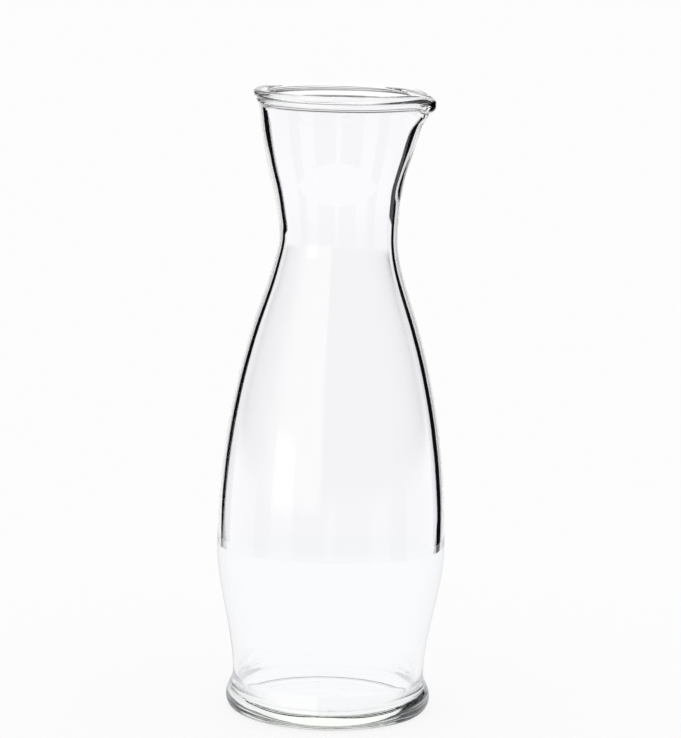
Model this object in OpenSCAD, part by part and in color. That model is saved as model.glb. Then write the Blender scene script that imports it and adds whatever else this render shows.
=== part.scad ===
// Glass water carafe with a pouring spout.
// The carafe is one piece of clear glass: a thick foot, a belly, a narrow neck and a flared mouth.
// Lengths are millimetres and +Z is up. The origin is the centre of the foot, on the table,
// and the spout points along +X.

/* [Foot] */
// Outer radius of the flat ring that the carafe stands on
stand_ring_r = 38.8; // [36:0.2:41]
// Width of that flat ring
stand_ring_w = 3; // [1.5:0.5:6]
// Radius of the widest part of the foot
foot_r = 42.8; // [42:0.2:48]
// Height of the widest part of the foot
foot_bulge_h = 5.6; // [4:0.2:9]
// Radius of the waist above the foot
foot_waist_r = 40; // [36:0.5:42]
// Rise from the widest part of the foot to that waist
foot_waist_rise = 9.4; // [7:0.2:16]
// Height of the hollow under the foot
push_up_h = 2; // [1:0.5:4]

/* [Belly] */
// Radius of the widest part of the belly
belly_r = 47.5; // [44:0.5:56]
// Rise from the foot's waist to the widest part of the belly
belly_rise = 54.6; // [44:0.2:76]
// Radius at the steepest place of the shoulder
shoulder_r = 34.6; // [31:0.2:40]
// Rise from the belly to that place
shoulder_rise = 91.8; // [74:0.2:120]
// Radius that the wall loses there for each unit of height
shoulder_slope = 0.297; // [0.2:0.001:0.4]

/* [Neck and mouth] */
// Radius of the neck where it is narrowest
neck_r = 24.8; // [20:0.2:27]
// Rise from the shoulder to that place
neck_rise = 38.2; // [30:0.2:50]
// Radius at the steepest place of the flared mouth
throat_r = 27.6; // [26:0.2:31]
// Rise from the neck to that place
throat_rise = 21.6; // [16:0.2:30]
// Radius that the wall gains there for each unit of height
throat_slope = 0.285; // [0.15:0.005:0.4]
// Radius of the wall where it meets the collar
mouth_r = 33.5; // [32:0.1:40]
// Rise from the throat to the collar
mouth_rise = 33; // [26:0.2:44]
// Radius that the wall gains there for each unit of height
mouth_slope = 0.113; // [0:0.001:0.2]

/* [Lip] */
// Height of the rounded collar under the lip's bead
collar_h = 2.8; // [1.6:0.1:5]
// How far the collar stands out from the wall
collar_out = 1; // [0.4:0.1:1.6]
// Radius of the round bead along the lip
bead_r = 1.5; // [1.2:0.1:2]
// How far the bead stands out from the wall
bead_out = 2.4; // [1.6:0.1:3]

/* [Spout] */
// How far the lip is drawn out at the spout
spout_out = 3.4; // [1:0.2:7]
// How far the lip dips at the spout
spout_drop = 3; // [0:0.2:4]
// Depth below the lip at which the spout has half faded into the wall
spout_h = 11; // [8:0.5:16]
// Angle around the mouth at which the spout has half faded
spout_half_angle = 17; // [10:1:26]
// Depth of the dent that drawing the spout leaves in the throat
dent_in = 1.3; // [0:0.1:2]
// Depth of that dent's middle below the lip
dent_depth = 34; // [28:1:40]
// Height over which the dent has half faded, up or down
dent_h = 8; // [5:0.5:12]

/* [Glass] */
// Thickness of the wall at the belly and below it
wall_t = 2.8; // [1.8:0.1:3.4]
// Thickness of the wall from the shoulder up to the lip
neck_wall_t = 3.8; // [2:0.1:4.4]
// Thickness of the glass under the inner floor
base_t = 4.4; // [3:0.2:7]
// Radius of the corner between the inner floor and the wall
floor_corner_r = 6; // [3:0.5:8]

/* [Hidden] */

// Colour and opacity of the glass
glass_colour = [0.90, 0.93, 0.92];
glass_alpha = 0.45;

// The mouth's glass runs down into the neck's as a tongue, which lies this far inside the round wall
// on both sides, and is this long
seam_step = 0.05;
seam_h = 0.5;

// Steps around the carafe, along one stretch of its wall, and along one of its small curves
around = 72;
wall_steps = 10;
curve_steps = 5;
$fn = around;

// Heights of the places that the sizes above lead to
waist_z = foot_bulge_h + foot_waist_rise;
belly_z = waist_z + belly_rise;
shoulder_z = belly_z + shoulder_rise;
neck_z = shoulder_z + neck_rise;
throat_z = neck_z + throat_rise;
collar_z = throat_z + mouth_rise;
bead_z = collar_z + collar_h + bead_r;
lip_z = bead_z + bead_r;
floor_z = base_t;

// Radii that the sizes above lead to
push_up_r = stand_ring_r - stand_ring_w;
bead_centre_r = mouth_r + bead_out - bead_r;
lip_inner_r = mouth_r - neck_wall_t;
corner_out_r = foot_waist_r - wall_t;
corner_in_r = corner_out_r - floor_corner_r;

// Places that the outer wall passes through, each with its height, radius, slope and the
// thickness of the wall there
foot_place = [foot_bulge_h, foot_r, 0, wall_t];
waist_place = [waist_z, foot_waist_r, 0, wall_t];
belly_place = [belly_z, belly_r, 0, wall_t];
shoulder_place = [shoulder_z, shoulder_r, -shoulder_slope, neck_wall_t];
neck_place = [neck_z, neck_r, 0, neck_wall_t];
seam_outer_place = [neck_z, neck_r - seam_step, 0, neck_wall_t];
seam_inner_place = [neck_z, neck_r + seam_step, 0, neck_wall_t];
throat_place = [throat_z, throat_r, throat_slope, neck_wall_t];
collar_place = [collar_z, mouth_r, mouth_slope, neck_wall_t];

// A share of 0 to 1 turned into one that starts and ends level
function smooth(share) =
    let (s = max(0, min(1, share)))
    s * s * (3 - 2 * s);

// A fade that is 1 at zero, a half where its argument is 1, and then soon 0
function fade(ratio) = pow(2, -ratio * ratio);

// Radius on the cubic curve from place a to place b
function curve_r(a, b, t) =
    let (rise = b[0] - a[0])
    a[1] * (1 + 2 * t) * (1 - t) * (1 - t) + b[1] * t * t * (3 - 2 * t)
        + rise * (a[2] * t * (1 - t) * (1 - t) - b[2] * t * t * (1 - t));

// Slope of that curve
function curve_slope(a, b, t) =
    (b[1] - a[1]) / (b[0] - a[0]) * 6 * t * (1 - t)
        + a[2] * (1 - t) * (1 - 3 * t) + b[2] * t * (3 * t - 2);

// Point of the wall between places a and b, moved in through a share of the glass: all of it for
// the inner surface, none for the outer one
function wall_point(a, b, t, glass_share) =
    let (
        slope = curve_slope(a, b, t),
        depth = glass_share * (a[3] + (b[3] - a[3]) * t),
        scale = depth / norm([1, slope])
    )
    [curve_r(a, b, t) - scale, a[0] + t * (b[0] - a[0]) + slope * scale];

// Points of one stretch of wall, without its last point
function outer_stretch(a, b) =
    [for (i = [0 : wall_steps - 1]) wall_point(a, b, i / wall_steps, 0)];
function inner_stretch(a, b) =
    [for (i = [0 : wall_steps - 1]) wall_point(a, b, i / wall_steps, 1)];

// Points of an elliptic arc between two angles
function arc(centre, radii, from, to) =
    [for (i = [0 : curve_steps])
        let (angle = from + (to - from) * i / curve_steps)
        centre + [radii[0] * cos(angle), radii[1] * sin(angle)]];

// The same points in the opposite order
function reversed(points) = [for (i = [len(points) - 1 : -1 : 0]) points[i]];

// The same points without the last, where the next piece of outline starts at it
function but_last(points) = [for (i = [0 : len(points) - 2]) points[i]];

// Points of the hollow under the foot, or of the floor above it, from the axis outwards
function dome(radius, edge_z) =
    [for (i = [0 : curve_steps])
        let (share = i / curve_steps)
        [radius * share, edge_z + push_up_h * (1 - smooth(share))]];

// Half outline of the carafe below the narrowest place of the neck
lower_outline = concat(
    dome(push_up_r, 0),
    but_last(arc([stand_ring_r, foot_bulge_h], [foot_r - stand_ring_r, foot_bulge_h], -90, 0)),
    outer_stretch(foot_place, waist_place),
    outer_stretch(waist_place, belly_place),
    outer_stretch(belly_place, shoulder_place),
    outer_stretch(shoulder_place, neck_place),
    [[neck_r, neck_z], [neck_r - neck_wall_t, neck_z]],
    reversed(inner_stretch(shoulder_place, neck_place)),
    reversed(inner_stretch(belly_place, shoulder_place)),
    reversed(inner_stretch(waist_place, belly_place)),
    but_last(arc([corner_in_r, floor_z + floor_corner_r], [floor_corner_r, floor_corner_r], 0, -90)),
    reversed(dome(corner_in_r, floor_z))
);

// Outline of the glass above that place, from the outside over the lip and down inside
mouth_outline = concat(
    [[neck_r - seam_step, neck_z - seam_h]],
    outer_stretch(seam_outer_place, throat_place),
    outer_stretch(throat_place, collar_place),
    arc([mouth_r, collar_z + collar_h / 2], [collar_out, collar_h / 2], -90, 45),
    arc([bead_centre_r, bead_z], [bead_r, bead_r], -60, 90),
    arc([bead_centre_r, bead_z], [bead_centre_r - lip_inner_r, bead_r], 100, 180),
    reversed(inner_stretch(throat_place, collar_place)),
    reversed(inner_stretch(seam_inner_place, throat_place)),
    [[neck_r - neck_wall_t + seam_step, neck_z - seam_h]]
);

// How much of the spout is left at a point: all of it at the lip, none at the neck
function spout_share(depth, z) =
    smooth((z - neck_z) / throat_rise) / (1 + pow(max(0, depth) / spout_h, 4));

// How much of the dent in the throat is left at a point
function dent_share(depth, z) =
    smooth((z - neck_z) / throat_rise) * fade((depth - dent_depth) / dent_h);

// How far an outline point moves out to fill the groove between collar and bead, which the spout's
// round nose has closed. Only the outside of the lip lies beyond the wall's own radius.
function nose_fill(p) =
    let (
        half_h = (lip_z - collar_z) / 2,
        level = (p[1] - collar_z) / half_h - 1,
        nose_r = mouth_r + bead_out * sqrt(max(0, 1 - level * level))
    )
    p[0] > mouth_r ? max(0, nose_r - p[0]) : 0;

// Place in space of an outline point at an angle around the mouth, drawn out by the spout
function mouth_point(p, angle) =
    let (
        turn = angle > 180 ? angle - 360 : angle,
        across = fade(turn / spout_half_angle),
        depth = lip_z - p[1],
        drawn = spout_share(depth, p[1]),
        out = spout_out * drawn - dent_in * dent_share(depth, p[1]) + nose_fill(p),
        radius = p[0] + across * out
    )
    [radius * cos(angle), radius * sin(angle), p[1] - across * spout_drop * drawn];

// Foot, belly and shoulder, turned about the axis
module lower_glass() {
    rotate_extrude($fn = around)
        polygon(lower_outline);
}

// Throat, mouth and lip, with the spout drawn out of them
module mouth_glass() {
    rows = len(mouth_outline);
    points = [
        for (p = mouth_outline, k = [0 : around - 1])
            mouth_point(p, 360 * k / around)
    ];
    faces = [
        for (j = [0 : rows - 1], k = [0 : around - 1])
            let (
                up = ((j + 1) % rows) * around,
                here = j * around,
                next = (k + 1) % around
            )
            each [[here + k, up + k, up + next], [here + k, up + next, here + next]]
    ];
    polyhedron(points, faces);
}

// The whole carafe, one solid of clear glass
module glass_carafe() {
    color(glass_colour, glass_alpha)
        union() {
            lower_glass();
            mouth_glass();
        }
}

glass_carafe();
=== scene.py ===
"""Looks of a clear glass water carafe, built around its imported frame.

Lengths are metres. +Z is up, the origin is the centre of the foot on the table, and the
pouring spout points along +X. The camera looks along +Y.
"""

import logging
import math
from dataclasses import dataclass, field
from enum import Enum
from typing import Any, Sequence

import bmesh
import bpy
from mathutils import Matrix, Vector


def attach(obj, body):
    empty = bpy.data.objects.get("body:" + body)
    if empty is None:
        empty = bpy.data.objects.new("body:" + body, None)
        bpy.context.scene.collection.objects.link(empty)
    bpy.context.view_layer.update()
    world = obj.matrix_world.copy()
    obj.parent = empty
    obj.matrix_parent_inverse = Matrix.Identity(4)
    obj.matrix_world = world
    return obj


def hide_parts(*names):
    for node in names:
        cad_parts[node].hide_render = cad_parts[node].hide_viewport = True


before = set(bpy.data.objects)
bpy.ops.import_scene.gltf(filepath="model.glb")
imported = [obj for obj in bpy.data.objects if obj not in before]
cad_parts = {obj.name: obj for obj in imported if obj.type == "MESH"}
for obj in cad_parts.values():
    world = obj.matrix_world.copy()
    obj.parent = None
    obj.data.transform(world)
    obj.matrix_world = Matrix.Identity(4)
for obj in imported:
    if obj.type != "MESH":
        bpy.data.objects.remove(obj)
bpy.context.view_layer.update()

LOG = logging.getLogger("carafe")
MM = 0.001

QUARTER_TURN = 90.0
HALF_TURN = 180.0
FULL_TURN = 360.0

# Numbers of the Mix node's sockets for colours, which have their names in common with others
MIX_SHARE = 0
MIX_FIRST = 6
MIX_SECOND = 7
MIX_RESULT = 2

Point = tuple[float, float]
Span = tuple[float, float]
Colour = tuple[float, float, float]


class Arithmetic(Enum):
    """The Math node's operations that the finishes and the studio use."""

    ADD = "ADD"
    SUBTRACT = "SUBTRACT"
    MULTIPLY = "MULTIPLY"
    GREATER = "GREATER_THAN"
    LESS = "LESS_THAN"
    LARGER = "MAXIMUM"
    SMALLER = "MINIMUM"
    ANGLE = "ARCTAN2"
    SIZE = "ABSOLUTE"


class Value:
    """A number in a node tree: a socket whose arithmetic adds Math nodes."""

    def __init__(self, graph: "Graph", socket: bpy.types.NodeSocket) -> None:
        """Wraps a socket.

        Args:
            graph: the graph that the socket belongs to.
            socket: the output socket that carries the number.
        """
        self.graph = graph
        self.socket = socket

    def __add__(self, other: "Value | float") -> "Value":
        """Sum of this value and another."""
        return self.graph.math(Arithmetic.ADD, self, other)

    def __radd__(self, other: float) -> "Value":
        """Sum of a number and this value."""
        return self.graph.math(Arithmetic.ADD, other, self)

    def __sub__(self, other: "Value | float") -> "Value":
        """This value less another."""
        return self.graph.math(Arithmetic.SUBTRACT, self, other)

    def __rsub__(self, other: float) -> "Value":
        """A number less this value."""
        return self.graph.math(Arithmetic.SUBTRACT, other, self)

    def __mul__(self, other: "Value | float") -> "Value":
        """Product of this value and another."""
        return self.graph.math(Arithmetic.MULTIPLY, self, other)

    def __rmul__(self, other: float) -> "Value":
        """Product of a number and this value."""
        return self.graph.math(Arithmetic.MULTIPLY, other, self)

    def __gt__(self, other: "Value | float") -> "Value":
        """One where this value is above another, and zero elsewhere."""
        return self.graph.math(Arithmetic.GREATER, self, other)

    def __lt__(self, other: "Value | float") -> "Value":
        """One where this value is below another, and zero elsewhere."""
        return self.graph.math(Arithmetic.LESS, self, other)

    def __abs__(self) -> "Value":
        """Size of this value without its sign."""
        return self.graph.math(Arithmetic.SIZE, self, 0.0)


class Graph:
    """A node tree that a finish or the studio is written in."""

    def __init__(self, tree: bpy.types.NodeTree) -> None:
        """Empties a node tree and takes it over.

        Args:
            tree: the node tree of a material or of the world.
        """
        self.tree = tree
        tree.nodes.clear()

    def node(self, kind: str, settings: dict[str, Any] | None = None,
             inputs: dict[str | int, Any] | None = None) -> bpy.types.Node:
        """Adds one node.

        Args:
            kind: the node's type name.
            settings: properties of the node, which are set before its sockets.
            inputs: socket names or numbers, each with a number, a colour, a Value or a socket.

        Returns:
            The new node.
        """
        made = self.tree.nodes.new(kind)
        for name, setting in (settings or {}).items():
            setattr(made, name, setting)
        for name, given in (inputs or {}).items():
            self.feed(made.inputs[name], given)
        return made

    def feed(self, socket: bpy.types.NodeSocket, given: Any) -> None:
        """Links or sets an input socket.

        Args:
            socket: the input socket.
            given: a Value, an output socket, a number or a colour.
        """
        if isinstance(given, Value):
            given = given.socket
        if isinstance(given, bpy.types.NodeSocket):
            self.tree.links.new(given, socket)
        elif isinstance(given, tuple) and socket.type == "RGBA":
            socket.default_value = (*given, 1.0)
        else:
            socket.default_value = given

    def value(self, node: bpy.types.Node, output: str | int = 0) -> Value:
        """A node's output as a Value."""
        return Value(self, node.outputs[output])

    def math(self, operation: Arithmetic, first: Value | float, second: Value | float) -> Value:
        """Adds a Math node.

        Args:
            operation: what the node works out.
            first: its first number.
            second: its second number, which some operations leave aside.

        Returns:
            The result.
        """
        made = self.node("ShaderNodeMath", {"operation": operation.value}, {0: first, 1: second})
        return self.value(made)

    def ramp(self, amount: Value, low: float, high: float) -> Value:
        """A smooth rise from 0 to 1.

        Args:
            amount: the value that is compared.
            low: where the rise starts.
            high: where it ends.

        Returns:
            0 below low, 1 above high and a smooth step between.
        """
        made = self.node(
            "ShaderNodeMapRange",
            {"interpolation_type": "SMOOTHSTEP"},
            {"Value": amount, "From Min": low, "From Max": high},
        )
        return self.value(made)

    def noise(self, place: bpy.types.NodeSocket, scale: float, detail: float) -> Value:
        """A cloudy pattern in space.

        Args:
            place: the socket of the place in space.
            scale: how many clouds there are in a metre.
            detail: how many finer layers lie over them.

        Returns:
            A value around a half.
        """
        made = self.node(
            "ShaderNodeTexNoise", inputs={"Vector": place, "Scale": scale, "Detail": detail}
        )
        return self.value(made)

    def mix(self, share: Value | float, first: Any, second: Any) -> bpy.types.NodeSocket:
        """Mixes two colours.

        Args:
            share: 0 gives the first colour and 1 the second.
            first: a colour or a colour socket.
            second: a colour or a colour socket.

        Returns:
            The mixed colour's socket.
        """
        made = self.node(
            "ShaderNodeMix",
            {"data_type": "RGBA"},
            {MIX_SHARE: share, MIX_FIRST: first, MIX_SECOND: second},
        )
        return made.outputs[MIX_RESULT]


def new_material(name: str) -> tuple[bpy.types.Material, Graph]:
    """Starts a material.

    Args:
        name: the material's name.

    Returns:
        The material and the empty graph of its nodes.
    """
    made = bpy.data.materials.new(name)
    made.use_nodes = True
    return made, Graph(made.node_tree)


def placed(shape: bmesh.types.BMesh, name: str) -> bpy.types.Object:
    """Turns a shape into an object of the scene.

    Args:
        shape: the shape, which is freed.
        name: the name of the object and of its mesh.

    Returns:
        The object.
    """
    mesh = bpy.data.meshes.new(name)
    shape.to_mesh(mesh)
    shape.free()
    made = bpy.data.objects.new(name, mesh)
    bpy.context.scene.collection.objects.link(made)
    return made


@dataclass(frozen=True)
class ClearGlass:
    """Fire-polished clear glass, faintly wavy from the mould and faintly green in depth.

    The waves are a few centimetres long and the finer unevenness over them a few millimetres.
    Handling leaves the polish a trace duller in patches.
    """

    name: str = "clear_glass"
    ior: float = 1.5
    tint: Colour = (0.995, 0.998, 0.996)
    depth_colour: Colour = (0.62, 0.72, 0.55)
    depth_density: float = 3.0
    polish: float = 0.0005
    handled: float = 0.004
    handled_where: Span = (0.45, 0.75)
    handling_scale: float = 28.0
    handling_detail: float = 3.0
    wave_scale: float = 34.0
    wave_detail: float = 1.0
    wave_height: float = 0.00004
    fine_scale: float = 260.0
    fine_detail: float = 2.0
    fine_height: float = 0.000004

    def material(self) -> bpy.types.Material:
        """Builds the finish.

        Returns:
            The material.
        """
        made, graph = new_material(self.name)
        place = graph.node("ShaderNodeTexCoord").outputs["Object"]
        handling = graph.noise(place, self.handling_scale, self.handling_detail)
        waves = graph.noise(place, self.wave_scale, self.wave_detail)
        fine = graph.noise(place, self.fine_scale, self.fine_detail)
        wavy = graph.node("ShaderNodeBump", inputs={
            "Strength": 1.0,
            "Distance": 1.0,
            "Height": waves * self.wave_height + fine * self.fine_height,
        })
        surface = graph.node("ShaderNodeBsdfPrincipled", inputs={
            "Base Color": self.tint,
            "IOR": self.ior,
            "Transmission Weight": 1.0,
            "Roughness": graph.ramp(handling, *self.handled_where) * self.handled + self.polish,
            "Normal": wavy.outputs[0],
        })
        depth = graph.node("ShaderNodeVolumeAbsorption", inputs={
            "Color": self.depth_colour,
            "Density": self.depth_density,
        })
        graph.node("ShaderNodeOutputMaterial", inputs={
            "Surface": surface.outputs[0],
            "Volume": depth.outputs[0],
        })
        return made


@dataclass(frozen=True)
class WhiteTable:
    """A plain white table top that shows evenly white and keeps the carafe's soft shadow.

    It has one white for the camera, a dimmer one for light mirrored by the glass's outside, and
    one for light that comes out of the glass. The shadow share is how much of the first two is
    lit and shaded as plain paint is.
    """

    name: str = "white_table"
    shown: Colour = (0.985, 0.985, 0.985)
    mirrored: Colour = (0.7, 0.7, 0.74)
    through_glass: Colour = (0.985, 0.985, 1.0)
    diffuse: Colour = (0.96, 0.96, 0.96)
    shadow_share: float = 0.14

    def material(self) -> bpy.types.Material:
        """Builds the finish.

        Returns:
            The material.
        """
        made, graph = new_material(self.name)
        rays = graph.node("ShaderNodeLightPath")
        mirrored = graph.value(rays, "Is Glossy Ray")
        direct = graph.value(rays, "Is Camera Ray") + mirrored
        through = graph.value(rays, "Is Transmission Ray")
        paint = graph.node("ShaderNodeBsdfDiffuse", inputs={"Color": self.diffuse})
        shown = graph.mix(mirrored, self.shown, self.mirrored)
        shown = graph.mix(through, shown, self.through_glass)
        glow = graph.node("ShaderNodeEmission", inputs={"Color": shown, "Strength": 1.0})
        evenly = direct * (1.0 - self.shadow_share) + through
        share = graph.math(Arithmetic.SMALLER, evenly, 1.0)
        mixed = graph.node(
            "ShaderNodeMixShader", inputs={0: share, 1: paint.outputs[0], 2: glow.outputs[0]}
        )
        graph.node("ShaderNodeOutputMaterial", inputs={"Surface": mixed.outputs[0]})
        return made


@dataclass(frozen=True)
class Place:
    """A place that the wall passes through: its height, radius, slope and thickness of glass."""

    z: float
    r: float
    slope: float = 0.0
    wall: float = 0.0

    def towards(self, other: "Place", share: float, inside: bool) -> Point:
        """A point of the wall, on the cubic curve between this place and another.

        Args:
            other: the next place up the wall.
            share: how far along the stretch the point is, from 0 to 1.
            inside: whether the point lies on the inner surface rather than the outer one.

        Returns:
            The point's radius and height.
        """
        depth = self.wall + (other.wall - self.wall) * share if inside else 0.0
        rise = other.z - self.z
        rest = 1.0 - share
        radius = (
            self.r * (1 + 2 * share) * rest * rest
            + other.r * share * share * (3 - 2 * share)
            + rise * (self.slope * share * rest * rest - other.slope * share * share * rest)
        )
        slope = (
            (other.r - self.r) / rise * 6 * share * rest
            + self.slope * rest * (1 - 3 * share)
            + other.slope * share * (3 * share - 2)
        )
        scale = depth / math.hypot(1.0, slope)
        return radius - scale, self.z + share * rise + slope * scale


def smooth(share: float) -> float:
    """A share of 0 to 1 turned into one that starts and ends level."""
    held = max(0.0, min(1.0, share))
    return held * held * (3 - 2 * held)


def fade(ratio: float) -> float:
    """1 at zero, a half where the ratio is 1, and then soon 0."""
    return 2.0 ** (-ratio * ratio)


@dataclass
class Carafe:
    """The glass of the carafe, one closed mesh of revolution with a spout drawn out of it.

    The sizes are those of the part's source. Three more are this one carafe's unevenness: the
    inner surface stands off centre by uneven, away from the spout, and the neck's side there is
    pinched in. Angles are in degrees, and arcs run from their first angle to their last.
    """

    finish: ClearGlass = field(default_factory=ClearGlass)
    stand_ring_r: float = 38.8 * MM
    stand_ring_w: float = 3 * MM
    foot_r: float = 42.8 * MM
    foot_bulge_h: float = 5.6 * MM
    foot_waist_r: float = 40 * MM
    foot_waist_rise: float = 9.4 * MM
    push_up_h: float = 2 * MM
    belly_r: float = 47.5 * MM
    belly_rise: float = 54.6 * MM
    shoulder_r: float = 34.6 * MM
    shoulder_rise: float = 91.8 * MM
    shoulder_slope: float = 0.297
    neck_r: float = 24.8 * MM
    neck_rise: float = 38.2 * MM
    throat_r: float = 27.6 * MM
    throat_rise: float = 21.6 * MM
    throat_slope: float = 0.285
    mouth_r: float = 33.5 * MM
    mouth_rise: float = 33 * MM
    mouth_slope: float = 0.113
    collar_h: float = 2.8 * MM
    collar_out: float = 1 * MM
    bead_r: float = 1.5 * MM
    bead_out: float = 2.4 * MM
    spout_out: float = 3.4 * MM
    spout_drop: float = 3 * MM
    spout_h: float = 11 * MM
    spout_half_angle: float = 17.0
    spout_power: int = 4
    dent_in: float = 1.3 * MM
    dent_depth: float = 34 * MM
    dent_h: float = 8 * MM
    wall_t: float = 2.8 * MM
    neck_wall_t: float = 3.8 * MM
    base_t: float = 4.4 * MM
    floor_corner_r: float = 6 * MM
    uneven: float = 0.45 * MM
    pinch_in: float = 0.8 * MM
    pinch_h: float = 7 * MM
    pinch_half_angle: float = 40.0
    foot_arc: Span = (-90.0, 0.0)
    collar_arc: Span = (-90.0, 45.0)
    bead_arc: Span = (-60.0, 90.0)
    lip_arc: Span = (95.0, 180.0)
    floor_arc: Span = (0.0, -90.0)
    around: int = 288
    step: float = 1.2 * MM
    fine_step: float = 0.35 * MM
    least_steps: int = 6
    least_arc_steps: int = 4
    lip_points: int = 14
    neck_z: float = field(init=False)
    collar_z: float = field(init=False)
    bead_z: float = field(init=False)
    lip_z: float = field(init=False)
    places: list[Place] = field(init=False)

    def __post_init__(self) -> None:
        """Works out the heights and places that the sizes lead to."""
        waist_z = self.foot_bulge_h + self.foot_waist_rise
        belly_z = waist_z + self.belly_rise
        shoulder_z = belly_z + self.shoulder_rise
        self.neck_z = shoulder_z + self.neck_rise
        throat_z = self.neck_z + self.throat_rise
        self.collar_z = throat_z + self.mouth_rise
        self.bead_z = self.collar_z + self.collar_h + self.bead_r
        self.lip_z = self.bead_z + self.bead_r
        self.places = [
            Place(self.foot_bulge_h, self.foot_r, 0.0, self.wall_t),
            Place(waist_z, self.foot_waist_r, 0.0, self.wall_t),
            Place(belly_z, self.belly_r, 0.0, self.wall_t),
            Place(shoulder_z, self.shoulder_r, -self.shoulder_slope, self.neck_wall_t),
            Place(self.neck_z, self.neck_r, 0.0, self.neck_wall_t),
            Place(throat_z, self.throat_r, self.throat_slope, self.neck_wall_t),
            Place(self.collar_z, self.mouth_r, self.mouth_slope, self.neck_wall_t),
        ]

    def stretch(self, low: Place, high: Place, inside: bool = False) -> list[Point]:
        """Points of the wall between two places.

        Args:
            low: the lower place.
            high: the upper place.
            inside: whether the points lie on the inner surface.

        Returns:
            The points from the low place up, without the high one.
        """
        count = max(self.least_steps, round((high.z - low.z) / self.step))
        return [low.towards(high, i / count, inside) for i in range(count)]

    def arc(self, centre: Point, radii: Point, span: Span) -> list[Point]:
        """Points of an elliptic arc.

        Args:
            centre: the arc's centre.
            radii: its two radii.
            span: its first and last angle in degrees.

        Returns:
            The points, both ends included.
        """
        start, end = span
        length = math.radians(abs(end - start)) * max(radii)
        count = max(self.least_arc_steps, round(length / self.fine_step))
        turns = [math.radians(start + (end - start) * i / count) for i in range(count + 1)]
        return [
            (centre[0] + radii[0] * math.cos(turn), centre[1] + radii[1] * math.sin(turn))
            for turn in turns
        ]

    def dome(self, radius: float, edge_z: float) -> list[Point]:
        """Points of the hollow under the foot, or of the floor over it.

        Args:
            radius: the dome's radius.
            edge_z: the height of its edge.

        Returns:
            The points from the axis outwards.
        """
        count = round(radius / self.step)
        shares = [i / count for i in range(count + 1)]
        return [
            (radius * share, edge_z + self.push_up_h * (1 - smooth(share))) for share in shares
        ]

    def outer_outline(self) -> list[Point]:
        """Half outline of the outside.

        Returns:
            Points from the axis under the foot, up the outside and over the lip.
        """
        bead = (self.mouth_r + self.bead_out - self.bead_r, self.bead_z)
        lip_inner_r = self.mouth_r - self.neck_wall_t
        foot_radii = (self.foot_r - self.stand_ring_r, self.foot_bulge_h)
        collar = (self.mouth_r, self.collar_z + self.collar_h / 2)
        points = self.dome(self.stand_ring_r - self.stand_ring_w, 0.0)
        points += self.arc((self.stand_ring_r, self.foot_bulge_h), foot_radii, self.foot_arc)[:-1]
        for low, high in zip(self.places, self.places[1:]):
            points += self.stretch(low, high)
        points += self.arc(collar, (self.collar_out, self.collar_h / 2), self.collar_arc)
        points += self.arc(bead, (self.bead_r, self.bead_r), self.bead_arc)
        points += self.arc(bead, (bead[0] - lip_inner_r, self.bead_r), self.lip_arc)
        return points

    def inner_outline(self) -> list[Point]:
        """Half outline of the inside.

        Returns:
            Points from under the lip, down the inside and back to the axis on the floor.
        """
        corner = (
            self.foot_waist_r - self.wall_t - self.floor_corner_r,
            self.base_t + self.floor_corner_r,
        )
        corner_radii = (self.floor_corner_r, self.floor_corner_r)
        points: list[Point] = []
        for low, high in reversed(list(zip(self.places[1:], self.places[2:]))):
            points += reversed(self.stretch(low, high, inside=True))
        points += self.arc(corner, corner_radii, self.floor_arc)[:-1]
        points += reversed(self.dome(corner[0], self.base_t))
        return points

    def nose_fill(self, point: Point) -> float:
        """How far a point of the lip moves out to the spout's round nose.

        Args:
            point: the outline point's radius and height.

        Returns:
            The distance, which is zero on the wall and inside the lip.
        """
        radius, z = point
        level = 2 * (z - self.collar_z) / (self.lip_z - self.collar_z) - 1
        nose_r = self.mouth_r + self.bead_out * math.sqrt(max(0.0, 1 - level * level))
        return max(0.0, nose_r - radius) if radius > self.mouth_r else 0.0

    def drawn_point(self, point: Point, turn: float, inside: float) -> Vector:
        """Place in space of an outline point, drawn out by the spout.

        Args:
            point: the outline point's radius and height.
            turn: the angle around the axis in degrees, from -180 to 180.
            inside: 1 for a point of the inner surface, 0 for one of the outer.

        Returns:
            The place.
        """
        radius, z = point
        depth = self.lip_z - z
        across = fade(turn / self.spout_half_angle)
        reach = smooth((z - self.neck_z) / self.throat_rise)
        drawn = reach / (1 + (max(0.0, depth) / self.spout_h) ** self.spout_power)
        dent = reach * fade((depth - self.dent_depth) / self.dent_h)
        radius += across * (self.spout_out * drawn - self.dent_in * dent + self.nose_fill(point))
        pinch = self.pinch_in * fade((z - self.neck_z) / self.pinch_h)
        radius -= pinch * fade((HALF_TURN - abs(turn)) / self.pinch_half_angle)
        angle = math.radians(turn)
        return Vector((
            radius * math.cos(angle) - self.uneven * inside,
            radius * math.sin(angle),
            z - across * self.spout_drop * drawn,
        ))

    def build(self) -> bpy.types.Object:
        """Builds the glass as one closed mesh.

        Returns:
            The glass.
        """
        outer = self.outer_outline()
        outline = outer + self.inner_outline()
        insides = [smooth((k - len(outer)) / self.lip_points + 1) for k in range(len(outline))]
        turns = [FULL_TURN * k / self.around for k in range(self.around)]
        turns = [turn - FULL_TURN if turn > HALF_TURN else turn for turn in turns]
        shape = bmesh.new()
        under = shape.verts.new(self.drawn_point(outline[0], 0.0, 0.0))
        rings = [
            [shape.verts.new(self.drawn_point(point, turn, inside)) for turn in turns]
            for point, inside in zip(outline[1:-1], insides[1:-1])
        ]
        floor = shape.verts.new(self.drawn_point(outline[-1], 0.0, 1.0))
        for k in range(self.around):
            after = (k + 1) % self.around
            shape.faces.new((under, rings[0][after], rings[0][k]))
            shape.faces.new((floor, rings[-1][k], rings[-1][after]))
            for low, high in zip(rings, rings[1:]):
                shape.faces.new((low[k], low[after], high[after], high[k]))
        for face in shape.faces:
            face.smooth = True
        return placed(shape, "carafe_glass")

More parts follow.
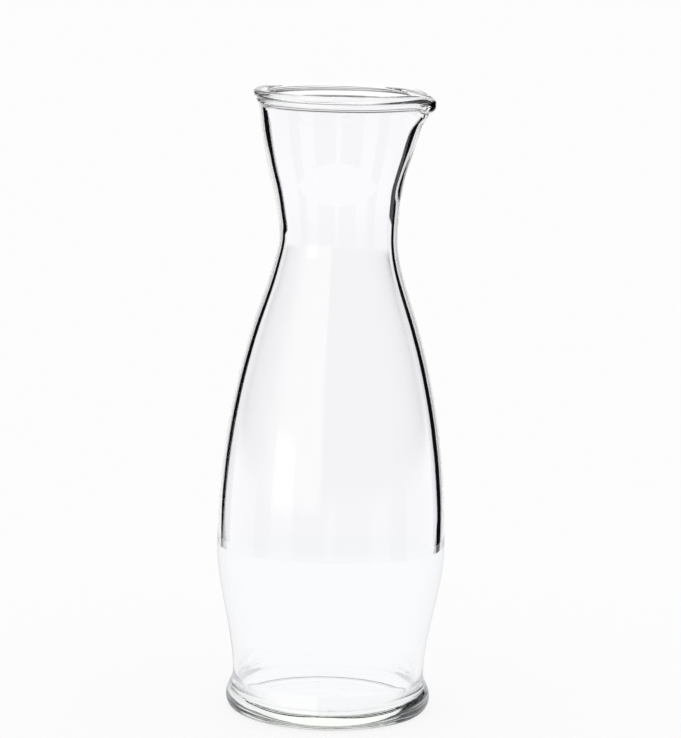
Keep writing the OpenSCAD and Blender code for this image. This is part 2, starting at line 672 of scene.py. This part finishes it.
    def dress(self, piece: bpy.types.Object) -> None:
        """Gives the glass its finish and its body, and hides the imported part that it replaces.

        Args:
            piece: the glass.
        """
        piece.data.materials.append(self.finish.material())
        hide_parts("glass_carafe")
        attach(piece, "root")


@dataclass
class Table:
    """The round white table top that the carafe stands on. It isn't part of the object.

    Its middle lies a little nearer to the camera than the carafe's.
    """

    finish: WhiteTable = field(default_factory=WhiteTable)
    radius: float = 0.405
    nearer: float = 0.045
    sides: int = 128

    def build(self) -> bpy.types.Object:
        """Builds the top as a flat disc at the height of the foot.

        Returns:
            The table top.
        """
        shape = bmesh.new()
        bmesh.ops.create_circle(shape, cap_ends=True, segments=self.sides, radius=self.radius)
        bmesh.ops.translate(shape, verts=shape.verts, vec=(0.0, -self.nearer, 0.0))
        return placed(shape, "table_top")

    def dress(self, top: bpy.types.Object) -> None:
        """Gives the top its finish."""
        top.data.materials.append(self.finish.material())


@dataclass(frozen=True)
class Direction:
    """Where light leaves for: its shares along +X, +Y and +Z, and two angles in radians.

    The angle runs from the backdrop's middle towards +X. The turn is the direction's angle to
    either side of the middle of the opening between the cards.
    """

    across: Value
    along: Value
    up: Value
    angle: Value
    turn: Value


@dataclass(frozen=True)
class Passage:
    """What light has been through before it leaves for the studio, each 1 or 0.

    Outer light hasn't been in the glass. Walled light has stayed within the wall, the lip or
    the foot, and crossed light has crossed the hollow. Light has bounced once or more, twice or
    more (again) or three times or more (often).
    """

    outer: Value
    walled: Value
    crossed: Value
    bounced: Value
    again: Value
    often: Value


@dataclass(frozen=True)
class Studio:
    """The light around the carafe: a white sweep, a soft panel, dark cards and a dark ceiling.

    Angles are in degrees, around the carafe from the backdrop's middle, and heights are the
    direction's share along +Z. The cards stand beside the white opening behind the carafe, so
    that the glass has its dark edges. Light that crosses the hollow has passed them by.
    """

    # What the camera sees past the table, and what lights plain paint
    background: Colour = (0.978, 0.98, 0.978)
    lit: Colour = (1.0, 1.0, 1.0)

    # The white sweep behind, the room that it fades into, and what lies below the table's edge,
    # for light out of the glass and for light mirrored by its outside
    backdrop: Colour = (1.0, 0.99, 1.02)
    room: Colour = (0.45, 0.43, 0.52)
    backdrop_fades: Span = (40.0, 110.0)
    ground: Colour = (0.985, 0.985, 1.0)
    mirrored_ground: Colour = (0.7, 0.7, 0.74)
    ground_sinks: Span = (-0.44, -0.16)

    # The ceiling beside the sweep and over it
    ceiling: Colour = (0.03, 0.03, 0.035)
    ceiling_sides: Span = (44.0, 58.0)
    ceiling_low: Span = (-0.08, 0.02)
    backdrop_top: Span = (0.62, 0.72)

    # The soft panel, whose angles run from the camera's side towards -X
    panel: Colour = (1.3, 1.3, 1.08)
    panel_sides: Span = (12.0, 72.0)
    panel_blurs: Span = (3.0, 18.0)
    panel_low: float = -0.05
    panel_high: float = 0.85
    panel_fade: float = 0.06

    # The opening between the cards, the cards, how far the opening's middle lies towards -X, and
    # the cards' soft borders
    glare: Colour = (1.1, 1.1, 1.1)
    card: Colour = (0.004, 0.004, 0.006)
    aside: float = 1.0
    card_blur: float = 1.5

    # Near and far edge of the front card low down and high up, and where they draw in
    low_card: Span = (30.0, 50.0)
    high_card: Span = (24.0, 37.0)
    card_narrows: Span = (-0.21, -0.15)

    # The front card's far edge for outer light, the cards for light that has bounced once, and
    # the heights between which all of these stand
    outer_card: float = 55.0
    side_cards: tuple[Span, ...] = ((94.0, 114.0), (139.0, 176.0))
    card_low: Span = (-0.56, -0.5)
    card_high: Span = (0.1, 0.16)

    # The dark above the cards for walled light: once that has bounced, all but an opening whose
    # middle lies towards +X, and before that a band which fades out with height
    steep_aside: float = 9.0
    steep_side: float = 42.0
    steep_high: Span = (0.15, 0.45)

    # The lit corner of the room to the right, for light that turns often inside the foot
    corner_sides: Span = (36.0, 100.0)
    corner_high: Span = (0.1, 0.2)

    # Counts of faces passed and of bounces that tell the kinds of light apart
    outer_passes: float = 0.5
    walled_passes: float = 2.5
    no_bounce: float = 0.5
    one_bounce: float = 1.5
    two_bounces: float = 2.5

    def build(self) -> None:
        """Builds the world's nodes."""
        world = bpy.data.worlds.new("studio")
        world.use_nodes = True
        bpy.context.scene.world = world
        graph = Graph(world.node_tree)
        rays = graph.node("ShaderNodeLightPath")
        light = self.passage(graph, rays)
        way = self.direction(graph)
        near_edge, far_edge = self.card_edges(graph, way.up)
        closed = self.past(graph, way.turn, near_edge)
        front = closed * (1.0 - self.past(graph, way.turn, far_edge))
        seen = self.surround(graph, light, way)
        seen = graph.mix((1.0 - closed) * (1.0 - light.crossed), seen, self.glare)
        seen = graph.mix(self.cards(graph, light, way, closed, front), seen, self.card)
        seen = graph.mix(self.corner(graph, light, way), seen, self.backdrop)
        seen = graph.mix(light.crossed, seen, self.backdrop)
        seen = graph.mix(graph.value(rays, "Is Diffuse Ray"), seen, self.lit)
        seen = graph.mix(graph.value(rays, "Is Camera Ray"), seen, self.background)
        glow = graph.node("ShaderNodeBackground", inputs={"Color": seen, "Strength": 1.0})
        graph.node("ShaderNodeOutputWorld", inputs={"Surface": glow.outputs[0]})

    def passage(self, graph: Graph, rays: bpy.types.Node) -> Passage:
        """Tells the kinds of light apart.

        Args:
            graph: the world's graph.
            rays: its Light Path node.

        Returns:
            What the light has been through.
        """
        passes = graph.value(rays, "Transmission Depth")
        bounces = graph.value(rays, "Glossy Depth")
        outer = passes < self.outer_passes
        crossed = passes > self.walled_passes
        return Passage(
            outer=outer,
            walled=(1.0 - crossed) * (1.0 - outer),
            crossed=crossed,
            bounced=bounces > self.no_bounce,
            again=bounces > self.one_bounce,
            often=bounces > self.two_bounces,
        )

    def direction(self, graph: Graph) -> Direction:
        """Reads where the light leaves for.

        Args:
            graph: the world's graph.

        Returns:
            The direction.
        """
        place = graph.node("ShaderNodeTexCoord").outputs["Generated"]
        split = graph.node("ShaderNodeSeparateXYZ", inputs={0: place})
        across, along, up = (graph.value(split, axis) for axis in "XYZ")
        angle = graph.math(Arithmetic.ANGLE, across, along)
        return Direction(across, along, up, angle, abs(angle + math.radians(self.aside)))

    def surround(self, graph: Graph, light: Passage, way: Direction) -> bpy.types.NodeSocket:
        """The white backdrop, the pale room, the dark ceiling and the soft panel.

        Args:
            graph: the world's graph.
            light: what the light has been through.
            way: where it leaves for.

        Returns:
            The colour in that direction, without the cards.
        """
        start, end = map(math.radians, self.backdrop_fades)
        seen = graph.mix(graph.ramp(way.turn, start, end), self.backdrop, self.room)
        ground = graph.mix(light.outer, self.ground, self.mirrored_ground)
        seen = graph.mix(graph.ramp(way.up, *self.ground_sinks), ground, seen)
        first, last = map(math.radians, self.ceiling_sides)
        over = graph.ramp(way.turn, first, last) * graph.ramp(way.up, *self.ceiling_low)
        over = graph.math(Arithmetic.LARGER, over, graph.ramp(way.up, *self.backdrop_top))
        seen = graph.mix(over, seen, self.ceiling)
        return graph.mix(self.soft_panel(graph, way), seen, self.panel)

    def soft_panel(self, graph: Graph, way: Direction) -> Value:
        """Where the soft panel stands.

        Args:
            graph: the world's graph.
            way: where the light leaves for.

        Returns:
            1 on the panel, 0 beside it and its soft borders between.
        """
        turn = graph.math(Arithmetic.ANGLE, 0.0 - way.across, 0.0 - way.along)
        first, last = map(math.radians, self.panel_sides)
        near_blur, far_blur = map(math.radians, self.panel_blurs)
        low = graph.ramp(way.up, self.panel_low - self.panel_fade, self.panel_low)
        high = graph.ramp(way.up, self.panel_high - self.panel_fade, self.panel_high)
        band = graph.ramp(turn, first - near_blur, first + near_blur)
        band = band * (1.0 - graph.ramp(turn, last - far_blur, last + far_blur))
        return band * low * (1.0 - high)

    def cards(self, graph: Graph, light: Passage, way: Direction,
              closed: Value, front: Value) -> Value:
        """Where the dark cards stand for each kind of light.

        Args:
            graph: the world's graph.
            light: what the light has been through.
            way: where it leaves for.
            closed: 1 beside the opening, 0 in it.
            front: 1 on the front card, 0 beside it.

        Returns:
            1 on a card, 0 beside it and the soft borders between.
        """
        high = graph.ramp(way.up, *self.card_high)
        wide = closed * (1.0 - self.past(graph, way.turn, math.radians(self.outer_card)))
        once = light.walled * light.bounced * (1.0 - light.again)
        seldom = light.walled * (1.0 - light.again)
        upright = light.outer * wide + once * self.bands(graph, way.turn, self.side_cards)
        upright = upright + seldom * front + light.walled * light.again
        upright = upright * graph.ramp(way.up, *self.card_low) * (1.0 - high)
        beside = abs(way.angle - math.radians(self.steep_aside))
        beside = self.past(graph, beside, math.radians(self.steep_side))
        above = 1.0 - graph.ramp(way.up, *self.steep_high)
        steep = light.bounced * beside + (1.0 - light.bounced) * above
        return upright + light.walled * high * steep

    def corner(self, graph: Graph, light: Passage, way: Direction) -> Value:
        """Where the lit corner of the room shows.

        Args:
            graph: the world's graph.
            light: what the light has been through.
            way: where it leaves for.

        Returns:
            1 in the corner for light that turns often inside the glass, and 0 elsewhere.
        """
        shown = light.walled * light.often * graph.ramp(way.up, *self.corner_high)
        return shown * self.bands(graph, way.angle, (self.corner_sides,))

    def card_edges(self, graph: Graph, up: Value) -> list[Value]:
        """Angles of the front card's near and far edge, which draw in as the card rises.

        Args:
            graph: the world's graph.
            up: the direction's share along +Z.

        Returns:
            The near edge and the far edge, in radians.
        """
        rise = graph.ramp(up, *self.card_narrows)
        return [
            rise * math.radians(high - low) + math.radians(low)
            for low, high in zip(self.low_card, self.high_card)
        ]

    def past(self, graph: Graph, turn: Value, edge: Value | float) -> Value:
        """1 where a direction lies past an edge, with the card's soft border."""
        blur = math.radians(self.card_blur)
        return graph.ramp(turn - edge, -blur, blur)

    def bands(self, graph: Graph, turn: Value, sides: tuple[Span, ...]) -> Value:
        """Where upright bands of the studio stand.

        Args:
            graph: the world's graph.
            turn: the direction's angle, in radians.
            sides: the first and last angle of each band, in degrees.

        Returns:
            1 on a band and 0 beside it.
        """
        bands = []
        for pair in sides:
            first, last = map(math.radians, pair)
            bands.append(self.past(graph, turn, first) * (1.0 - self.past(graph, turn, last)))
        return sum(bands[1:], bands[0])


@dataclass(frozen=True)
class Viewpoint:
    """The camera of the photograph, fitted to the carafe's outline, rim and foot."""

    back: float = 1.420
    height: float = 0.382
    aside: float = 0.0024
    down_degrees: float = 9.51
    roll_degrees: float = 1.295
    focal_px: float = 3471.0
    long_side_px: float = 738.0
    sensor_mm: float = 36.0

    def build(self) -> bpy.types.Object:
        """Places the camera.

        Returns:
            The camera.
        """
        data = bpy.data.cameras.new("camera")
        data.sensor_width = self.sensor_mm
        data.lens = self.focal_px / self.long_side_px * self.sensor_mm
        made = bpy.data.objects.new("camera", data)
        place = Matrix.Translation((self.aside, -self.back, self.height))
        tilt = Matrix.Rotation(math.radians(QUARTER_TURN - self.down_degrees), 4, "X")
        roll = Matrix.Rotation(math.radians(self.roll_degrees), 4, "Z")
        made.matrix_world = place @ tilt @ roll
        bpy.context.scene.collection.objects.link(made)
        bpy.context.scene.camera = made
        return made


@dataclass(frozen=True)
class LightLimits:
    """How often light may turn before it is given up, high enough for the solid foot."""

    turns: int = 24
    reflections: int = 16
    passes: int = 24

    def apply(self) -> None:
        """Hands the limits to the scene."""
        cycles = bpy.context.scene.cycles
        cycles.max_bounces = self.turns
        cycles.glossy_bounces = self.reflections
        cycles.transmission_bounces = self.passes


def main() -> None:
    """Builds the carafe, its table, its light and its camera."""
    logging.basicConfig(level=logging.INFO, format="%(message)s")
    bpy.context.scene.view_settings.view_transform = "Standard"
    LightLimits().apply()
    carafe = Carafe()
    glass = carafe.build()
    carafe.dress(glass)
    LOG.info("%s: %d faces", glass.name, len(glass.data.polygons))
    table = Table()
    top = table.build()
    table.dress(top)
    LOG.info("%s: radius %.3f m", top.name, table.radius)
    Studio().build()
    Viewpoint().build()


if __name__ == "__main__":
    main()
